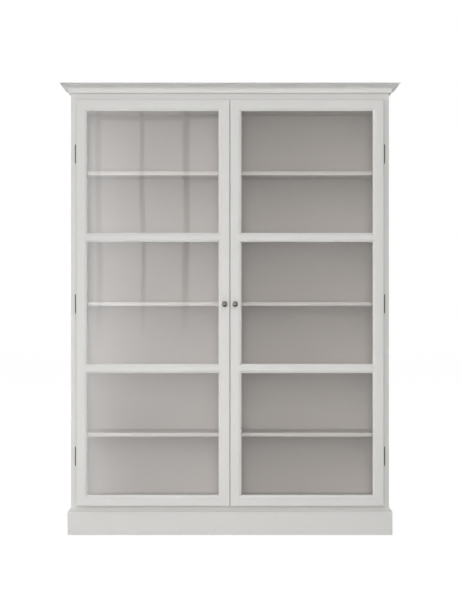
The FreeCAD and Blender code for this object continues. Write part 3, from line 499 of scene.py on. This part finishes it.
# One catch, in mm: its seat on the wood is at X 0, its poles reach the door at Y 0,
# and it is centred on Z 0.
CATCH_WIDTH, CATCH_LENGTH, CATCH_HALF = 12.0, 30.0, 22.0
EAR_FRONT, EAR_THICKNESS, EAR_ROUNDING = 4.0, 2.2, 5.0
HOUSING_FRONT, HOUSING_BACK, HOUSING_HALF = 2.4, 28.0, 14.5
RIBS, RIB_START, RIB_PITCH, RIB_WIDTH = 3, 9.0, 6.0, 2.0
RIB_RISE, RIB_DEPTH, RIB_HALF = 0.8, 2.0, 11.5
POLES, POLE_THICKNESS, POLE_HALF, POLE_LENGTH = (3.0, 8.2), 1.4, 12.0, 9.0
MAGNET_FRONT, MAGNET_HALF = 1.2, 11.4
CATCH_SCREW_UP, CATCH_SCREW_BACK = 18.2, 16.5
PARALLEL = 0.999           # the least cosine that counts as parallel
CORNER_SEGMENTS = 5


def start_block(name, low, high):
    """A block between two corners in mm, left in edit mode with all of it selected."""
    bpy.ops.object.select_all(action="DESELECT")
    bpy.ops.mesh.primitive_cube_add(size=1)
    piece = bpy.context.object
    piece.name = name
    bpy.ops.object.mode_set(mode="EDIT")
    bpy.ops.mesh.select_mode(type="EDGE")
    bpy.ops.mesh.select_all(action="SELECT")
    size = [(top - bottom) * MM for bottom, top in zip(low, high)]
    bpy.ops.transform.resize(value=size, center_override=(0, 0, 0))
    bpy.ops.transform.translate(value=[(top + bottom) / 2 * MM for bottom, top in zip(low, high)])
    return piece


def runs_along(axis):
    """A test for edges parallel to an axis, with X as 0."""
    return lambda start, end: abs((end - start).normalized()[axis]) > PARALLEL


def ease(piece, radius, segments=2):
    """Leave edit mode and round a piece's sharp edges by a radius in mm."""
    bpy.ops.object.mode_set(mode="OBJECT")
    rounding = piece.modifiers.new("easing", "BEVEL")
    rounding.width = radius * MM
    rounding.segments = segments
    rounding.limit_method = "ANGLE"
    bpy.ops.object.modifier_apply(modifier=rounding.name)
    bpy.ops.object.shade_smooth_by_angle(angle=SMOOTH_BELOW)
    return piece


def block(name, low, high, easing):
    """A block between two corners in mm with eased edges."""
    return ease(start_block(name, low, high), easing)


def plate(name, low, high, axis, rounding, easing):
    """A block whose corners are rounded about an axis, with X as 0, all in mm."""
    piece = start_block(name, low, high)
    pick_edges(piece, runs_along(axis))
    bpy.ops.mesh.bevel(offset=rounding * MM, segments=CORNER_SEGMENTS, affect="EDGES")
    return ease(piece, easing)


def cut_away(piece, cutter):
    """Cut a cutter's shape out of a piece, and drop the cutter."""
    if bpy.context.mode != "OBJECT":
        bpy.ops.object.mode_set(mode="OBJECT")
    bpy.context.view_layer.objects.active = piece
    cut = piece.modifiers.new("cut", "BOOLEAN")
    cut.operation = "DIFFERENCE"
    cut.object = cutter
    bpy.ops.object.modifier_apply(modifier=cut.name)
    bpy.data.objects.remove(cutter)


def cross_head(name, radius, rise, recess):
    """A low domed screw head about Z with a cross recess, in mm, its seat at height 0."""
    head = turn(name, [(radius * 0.8, -0.8), (radius, 0), (radius, rise * 0.3),
                       (radius * 0.86, rise * 0.75), (radius * 0.5, rise)])
    arm_half = recess * 0.26
    for reach_x, reach_y in ((recess, arm_half), (arm_half, recess)):
        cut_away(head, start_block("recess_arm", (-reach_x, -reach_y, rise - recess * 0.5),
                                   (reach_x, reach_y, rise + 1)))
    return head


def moulded_plastic(name, colour, roughness):
    """Injection moulded plastic: an even colour with the mould's fine spark texture."""
    material, tree = new_material(name)
    spark = noise(tree, size=0.4, detail=2.0, roughness=0.5)
    cloud = noise(tree, size=16, detail=2.0, roughness=0.5)
    bump = add(tree, "ShaderNodeBump", {"Strength": 0.3, "Distance": 0.1 * MM, "Height": spark})
    plastic = add(tree, "ShaderNodeBsdfPrincipled", {
        "Base Color": toned(tree, colour, vary(tree, cloud, middle=1, reach=0.04)),
        "Roughness": roughness, "Normal": bump, "IOR": 1.49})
    add(tree, "ShaderNodeOutputMaterial", {"Surface": plastic})
    return material


abs_plastic = moulded_plastic("moulded_abs", "#C9C8C5", roughness=0.5)
ferrite = moulded_plastic("ferrite", "#3B3A3A", roughness=0.6)
ears = plate("catch_ears", (0, EAR_FRONT, -CATCH_HALF), (EAR_THICKNESS, CATCH_LENGTH, CATCH_HALF),
             axis=0, rounding=EAR_ROUNDING, easing=0.4)
housing = block("catch_housing", (0, HOUSING_FRONT, -HOUSING_HALF),
                (CATCH_WIDTH - RIB_RISE, HOUSING_BACK, HOUSING_HALF), easing=1.6)
rib_starts = [RIB_START + RIB_PITCH * index for index in range(RIBS)]
ribs = [block("catch_rib", (CATCH_WIDTH - RIB_DEPTH, start, -RIB_HALF),
              (CATCH_WIDTH, start + RIB_WIDTH, RIB_HALF), easing=0.35) for start in rib_starts]
catch_body = joined("catch_body", [ears, housing, *ribs])
catch_poles = joined("catch_poles", [
    block("catch_pole", (start, 0, -POLE_HALF), (start + POLE_THICKNESS, POLE_LENGTH, POLE_HALF), easing=0.25)
    for start in POLES])
catch_magnet = block("catch_magnet", (POLES[0] + POLE_THICKNESS, MAGNET_FRONT, -MAGNET_HALF),
                     (POLES[1], POLE_LENGTH, MAGNET_HALF), easing=0.2)
catch_screw = cross_head("catch_screw", radius=2.9, rise=1.5, recess=1.5)

catch_low, catch_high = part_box("catch_magnets")
seat = catch_high.x - CATCH_WIDTH * MM
catch_places = []
screw_places = []
for sign in (-1, 1):
    for level in (catch_low.z + CATCH_HALF * MM, catch_high.z - CATCH_HALF * MM):
        catch_places.append(((sign * seat, catch_low.y, level), (0, 0 if sign > 0 else math.pi, 0)))
        for up in (-1, 1):
            screw_places.append(((
                sign * (seat + EAR_THICKNESS * MM), catch_low.y + CATCH_SCREW_BACK * MM,
                level + up * CATCH_SCREW_UP * MM), (0, sign * math.pi / 2, 0)))
for name, pattern, places, material, slot in (
        ("catch_housings", catch_body, catch_places, abs_plastic, "catch_plastic"),
        ("catch_pole_plates", catch_poles, catch_places, zinc, "steel"),
        ("catch_ferrites", catch_magnet, catch_places, ferrite, "catch_plastic"),
        ("catch_screws", catch_screw, screw_places, zinc, "steel")):
    finish_piece(copies(name, pattern, places), material, "case", slot, "catch_magnets")
    bpy.data.objects.remove(pattern)

# --------------------------------------------------------------------------- doors
# Each door is a mortised frame of two stiles and four rails with a bevel round each
# pane, in the same lacquer as the case.

RAILS = ("bottom", "lower", "upper", "top")
for bay in BAYS:
    dress(case_lacquer, f"door_{bay}_stile_hinge", f"door_{bay}_stile_meeting",
          *[f"door_{bay}_rail_{rail}" for rail in RAILS])

# --------------------------------------------------------------------------- panes
# Each door holds three panes of clear 4 mm float glass, flat to the eye, though a
# long reflection in them bends a little. The face that light enters by mirrors for
# both faces, and the one it leaves by is clear.

glass, tree = new_material("float_glass")
wave = noise(tree, size=600, detail=1.0, roughness=0.4)
bend = add(tree, "ShaderNodeBump", {"Strength": 0.35, "Distance": 2 * MM, "Height": wave})
clear = add(tree, "ShaderNodeBsdfTransparent", {"Color": linear("#FEFEFE")})
polish = add(tree, "ShaderNodeBsdfGlossy", {"Color": linear("#FFFFFF"), "Roughness": 0.012, "Normal": bend})
# Two faces that mirror a share F each mirror 2F / (1 + F) together.
one_face = add(tree, "ShaderNodeFresnel", {"IOR": 1.5})
two_shares = reckon(tree, "MULTIPLY", one_face, 2)
one_more = reckon(tree, "ADD", one_face, 1)
both_faces = reckon(tree, "DIVIDE", two_shares, one_more)
far_side = add(tree, "ShaderNodeNewGeometry").outputs["Backfacing"]
near_side = reckon(tree, "SUBTRACT", 1, far_side)
mirrored = reckon(tree, "MULTIPLY", both_faces, near_side)
pane = add(tree, "ShaderNodeMixShader", {0: mirrored, 1: clear, 2: polish})
add(tree, "ShaderNodeOutputMaterial", {"Surface": pane})
dress(glass, "door_left_glass_panes", "door_right_glass_panes")

# --------------------------------------------------------------------------- beads
# Four lengths of bead hold each pane in its rebate from behind. They are mitred at
# the corners, rounded towards the glass, pinned, and painted with the door.

REBATE = 8.0               # mm, the width of a bead
BEAD_ROUND, BEAD_EASING = 3.5, 0.3
NEAR = 0.1                 # mm
along_x, along_z = runs_along(0), runs_along(2)


def bead_frame(low_x, high_x, low_z, high_z, front, back):
    """Four mitred beads round the sight lines of a pane, in metres."""
    bpy.ops.object.select_all(action="DESELECT")
    bpy.ops.mesh.primitive_plane_add(size=1, rotation=(math.pi / 2, 0, 0))
    bpy.ops.object.transform_apply(location=True, rotation=True, scale=True)
    beads = bpy.context.object
    bpy.ops.object.mode_set(mode="EDIT")
    bpy.ops.mesh.select_mode(type="FACE")
    bpy.ops.mesh.select_all(action="SELECT")
    size = (high_x - low_x + 2 * REBATE * MM, 1, high_z - low_z + 2 * REBATE * MM)
    bpy.ops.transform.resize(value=size, center_override=(0, 0, 0))
    bpy.ops.transform.translate(value=((low_x + high_x) / 2, front, (low_z + high_z) / 2))
    bpy.ops.mesh.inset(thickness=REBATE * MM)
    bpy.ops.mesh.delete(type="FACE")
    bpy.ops.mesh.select_mode(type="EDGE")
    pick_edges(beads, lambda start, end: not along_x(start, end) and not along_z(start, end))
    bpy.ops.mesh.edge_split(type="EDGE")
    bpy.ops.mesh.select_all(action="SELECT")
    bpy.ops.mesh.extrude_region_move(TRANSFORM_OT_translate={"value": (0, back - front, 0)})
    bpy.ops.mesh.select_all(action="SELECT")
    bpy.ops.mesh.normals_make_consistent(inside=False)

    def at_sight(start, end):
        """Whether an edge runs along a sight line at the back."""
        near = NEAR * MM
        if min(start.y, end.y) < back - near:
            return False
        upright = along_z(start, end) and min(abs(start.x - low_x), abs(start.x - high_x)) < near
        level = along_x(start, end) and min(abs(start.z - low_z), abs(start.z - high_z)) < near
        return upright or level

    pick_edges(beads, at_sight)
    bpy.ops.mesh.bevel(offset=BEAD_ROUND * MM, segments=4, profile=0.5, affect="EDGES")
    return ease(beads, BEAD_EASING, segments=1)


for bay in BAYS:
    stiles = sorted((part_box(f"door_{bay}_stile_hinge"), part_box(f"door_{bay}_stile_meeting")),
                    key=lambda box: box[0].x)
    rails = [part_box(f"door_{bay}_rail_{rail}") for rail in RAILS]
    low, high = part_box(f"door_{bay}_glazing_beads")
    frames = [bead_frame(stiles[0][1].x, stiles[1][0].x, below[1].z, above[0].z, low.y, high.y)
              for below, above in zip(rails, rails[1:])]
    finish_piece(joined(f"door_{bay}_mitred_beads", frames), case_lacquer, f"door_{bay}", "paint",
                 f"door_{bay}_glazing_beads")

# --------------------------------------------------------------------------- knobs
# A small turned brass knob with a dark bronze finish stands on each meeting stile,
# held by a slotted machine screw from behind. Fingers have rubbed it paler.

KNOB_RADIUS, KNOB_REACH, HEAD_HALF = 13.0, 23.0, 8.0     # mm
HEAD_STEPS, HEAD_FROM, HEAD_TURN = 11, -62, 146          # the last two in degrees
SLOT_REACH, SLOT_HALF, SLOT_DEPTH = 5.0, 0.5, 1.1        # mm

rubbed_bronze = plated_metal("rubbed_bronze", "#74726F", "#94918C", roughness=0.2, grain_size=2.0)
knob_head = []
for step in range(HEAD_STEPS):
    angle = math.radians(HEAD_FROM + step * HEAD_TURN / (HEAD_STEPS - 1))
    knob_head.append((KNOB_RADIUS * math.cos(angle), KNOB_REACH - HEAD_HALF + HEAD_HALF * math.sin(angle)))
knob = turn("knob", [
    (8.4, 0), (9.0, 0.4), (9.0, 1.3), (8.3, 2.0), (6.6, 2.3), (5.6, 3.2), (4.9, 4.6), (4.9, 6.0),
    (5.3, 7.2), *knob_head, (0.6, KNOB_REACH)], segments=40)
screw_low, screw_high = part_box("door_right_knob_screw")
screw_length = (screw_high.y - screw_low.y) / MM
knob_screw = turn("knob_screw", [
    (1.5, -screw_length), (2.0, 0.6 - screw_length), (2.0, -3.0), (4.0, -3.0), (4.0, -0.7), (3.5, 0)],
    segments=32)
cut_away(knob_screw, start_block("slot_cutter", (-SLOT_REACH, -SLOT_HALF, -SLOT_DEPTH),
                                 (SLOT_REACH, SLOT_HALF, 1)))
for bay in BAYS:
    low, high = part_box(f"door_{bay}_knob")
    across, level = (low.x + high.x) / 2, (low.z + high.z) / 2
    turned_knob = copies(f"door_{bay}_turned_knob", knob, [((across, high.y, level), (math.pi / 2, 0, 0))])
    finish_piece(turned_knob, rubbed_bronze, f"door_{bay}", "dark_bronze", f"door_{bay}_knob")
    slotted = copies(f"door_{bay}_slotted_screw", knob_screw,
                     [((across, screw_high.y, level), (-math.pi / 2, 0, 0))])
    finish_piece(slotted, zinc, f"door_{bay}", "steel", f"door_{bay}_knob_screw")
bpy.data.objects.remove(knob)
bpy.data.objects.remove(knob_screw)

# ------------------------------------------------------------------- strike plates
# Two steel plates screwed to the back of each door meet the catches. Each has round
# corners and a screw near either end.

PLATE_THICKNESS, PLATE_ROUNDING = 1.2, 3.0     # mm, as are the next two
PLATE_SCREW_UP, PLATE_SCREW_SUNK = 17.0, 0.1

strike_screw = cross_head("strike_screw", radius=2.6, rise=0.25, recess=1.3)
for bay in BAYS:
    low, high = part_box(f"door_{bay}_catch_plates")
    half_width = (high.x - low.x) / 2 / MM
    strike = plate("strike", (-half_width, 0, -CATCH_HALF), (half_width, PLATE_THICKNESS, CATCH_HALF),
                   axis=1, rounding=PLATE_ROUNDING, easing=0.25)
    across = (low.x + high.x) / 2
    levels = (low.z + CATCH_HALF * MM, high.z - CATCH_HALF * MM)
    plates = copies("strikes", strike, [((across, low.y, level), (0, 0, 0)) for level in levels])
    screws = copies("strike_screws", strike_screw, [
        ((across, high.y - PLATE_SCREW_SUNK * MM, level + up * PLATE_SCREW_UP * MM), (-math.pi / 2, 0, 0))
        for level in levels for up in (-1, 1)])
    bpy.data.objects.remove(strike)
    finish_piece(joined(f"door_{bay}_strike_plates", [plates, screws]), zinc, f"door_{bay}", "steel",
                 f"door_{bay}_catch_plates")
bpy.data.objects.remove(strike_screw)

# -------------------------------------------------------------------------- hinges
# Three butt hinges on each door are steel with the knobs' dark bronze finish, not
# rubbed. The leaves are let in between door and case, and a loose pin with button
# tips holds each pair.

HALF_PIN, PIN_RADIUS = 42.35, 2.0        # mm, as are the tips
TIP_RADIUS, TIP_LENGTH = 2.7, 2.5
MIDDLE_HINGE = 1.075                     # metres

bronze = plated_metal("dark_bronze", "#5A5550", "#8A847C", roughness=0.3, grain_size=2.0)
tip = [(TIP_RADIUS - 0.15, 0), (TIP_RADIUS, 0.2), (TIP_RADIUS, 0.8), (TIP_RADIUS - 0.5, 1.1),
       (TIP_RADIUS - 0.4, 1.5), (TIP_RADIUS - 0.9, 2.1), (TIP_RADIUS - 1.9, TIP_LENGTH)]
hinge_pin = turn("hinge_pin", [
    *[(radius, -HALF_PIN - up) for radius, up in reversed(tip)], (PIN_RADIUS, -HALF_PIN),
    (PIN_RADIUS, HALF_PIN), *[(radius, HALF_PIN + up) for radius, up in tip]], segments=20)
low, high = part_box("hinge_pins")
pin_half = (HALF_PIN + TIP_LENGTH) * MM
hinge_levels = (low.z + pin_half, MIDDLE_HINGE, high.z - pin_half)
hinge_places = [((joint["pos_m"][0], joint["pos_m"][1], level), (0, 0, 0))
                for joint in frame["joints"] for level in hinge_levels]
finish_piece(copies("turned_hinge_pins", hinge_pin, hinge_places), bronze, "case", "dark_bronze",
             "hinge_pins")
bpy.data.objects.remove(hinge_pin)
dress(bronze, "hinge_leaves_case", "hinge_screws_case")
for bay in BAYS:
    dress(bronze, f"door_{bay}_hinge_leaves", f"door_{bay}_hinge_screws")

# ------------------------------------------------------------- brackets and screws
# Two pressed steel angles on the cover board take the wall screws, and countersunk
# wood screws hold them and the back panels. All are zinc plated.

dress(zinc, "case_screws", "wall_brackets")
